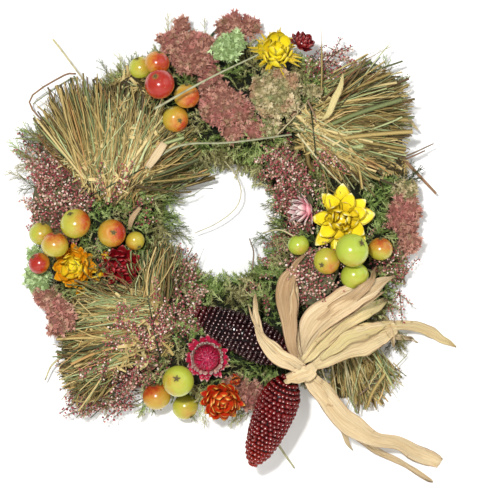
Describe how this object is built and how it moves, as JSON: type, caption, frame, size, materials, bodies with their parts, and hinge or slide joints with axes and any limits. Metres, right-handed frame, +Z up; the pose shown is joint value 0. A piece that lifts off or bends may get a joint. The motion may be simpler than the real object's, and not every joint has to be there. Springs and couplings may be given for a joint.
{
  "type": "door wreath",
  "caption": "Round door wreath: a straw ring dressed with moss, hay, sedum, heather, dried flowers, small apples and ears of corn, hung by a wire loop",
  "frame": {"origin": "the point inside the top of the hanging loop that rests on the door's hook", "axes": "+Z up, -Y out of the door towards the viewer, +X to the viewer's right; the ring stands in the XZ plane"},
  "size_m": [0.3189, 0.0857, 0.3425],
  "materials": {
    "straw": "matte",
    "moss": "matte",
    "wire": "satin",
    "hay": "matte",
    "heather": "matte",
    "sedum_rose": "matte",
    "sedum_green": "matte",
    "petal_yellow": "satin",
    "petal_orange": "satin",
    "petal_crimson": "satin",
    "petal_pink": "satin",
    "petal_magenta": "satin",
    "apple_red": "gloss",
    "apple_green": "gloss",
    "corn_dark": "gloss",
    "corn_red": "gloss",
    "husk": "matte"
  },
  "bodies": {
    "wreath": {"apple_left_1": "apple_red", "apple_left_2": "apple_red", "apple_left_3": "apple_red", "apple_left_4": "apple_red", "apple_left_5": "apple_red", "apple_left_6": "apple_red", "apple_lower_1": "apple_green", "apple_lower_2": "apple_green", "apple_lower_3": "apple_green", "apple_right_1": "apple_green", "apple_right_2": "apple_green", "apple_right_3": "apple_green", "apple_right_4": "apple_green", "apple_right_5": "apple_green", "apple_upper_1": "apple_red", "apple_upper_2": "apple_red", "apple_upper_3": "apple_red", "apple_upper_4": "apple_red", "apple_upper_5": "apple_red", "binding_wire": "wire", "corn_shank": "husk", "hay_sheaf_lower_left": "hay", "hay_sheaf_lower_right": "hay", "hay_sheaf_upper_left": "hay", "hay_sheaf_upper_right": "hay", "heather_inner_right": "heather", "heather_left": "heather", "heather_lower_left": "heather", "heather_lower_right": "heather", "husk_broad_lower": "husk", "husk_broad_upper": "husk", "husk_curl": "husk", "husk_streamer": "husk", "husk_upright": "husk", "loop_staple": "wire", "moss_coat": "moss", "sedum_bottom": "sedum_rose", "sedum_green_left": "sedum_green", "sedum_green_upper": "sedum_green", "sedum_left_low": "sedum_rose", "sedum_middle": "sedum_rose", "sedum_peak": "sedum_rose", "sedum_right": "sedum_rose", "sedum_rose_lower": "sedum_rose", "sedum_rose_upper": "sedum_rose", "sheaf_tie_lower_left": "wire", "sheaf_tie_upper_left": "wire", "sheaf_tie_upper_right": "wire", "straw_base": "straw", "strawflower_crimson_left": "petal_crimson", "strawflower_crimson_top": "petal_crimson", "strawflower_flame": "petal_orange", "strawflower_magenta": "petal_magenta", "strawflower_orange_left": "petal_orange", "strawflower_pink_bud": "petal_pink", "strawflower_yellow_right": "petal_yellow", "strawflower_yellow_top": "petal_yellow"},
    "hanging_loop": {"hanging_loop": "wire"},
    "dark_ear": {"corn_ear_dark": "corn_dark"},
    "red_ear": {"corn_ear_red": "corn_red"}
  },
  "joints": [
    {"name": "loop_fold", "type": "hinge", "parent": "wreath", "child": "hanging_loop", "pos_m": [0, 0, -0.0371], "axis": [-1, 0, 0], "range_deg": [0, 170]},
    {"name": "dark_ear_lift", "type": "hinge", "parent": "wreath", "child": "dark_ear", "pos_m": [0.061, -0.0474, -0.24776], "axis": [0, 1, 0], "range_deg": [0, 12]},
    {"name": "red_ear_sway", "type": "hinge", "parent": "wreath", "child": "red_ear", "pos_m": [0.061, -0.0474, -0.24776], "axis": [0, 1, 0], "range_deg": [-20, 8]}
  ]
}
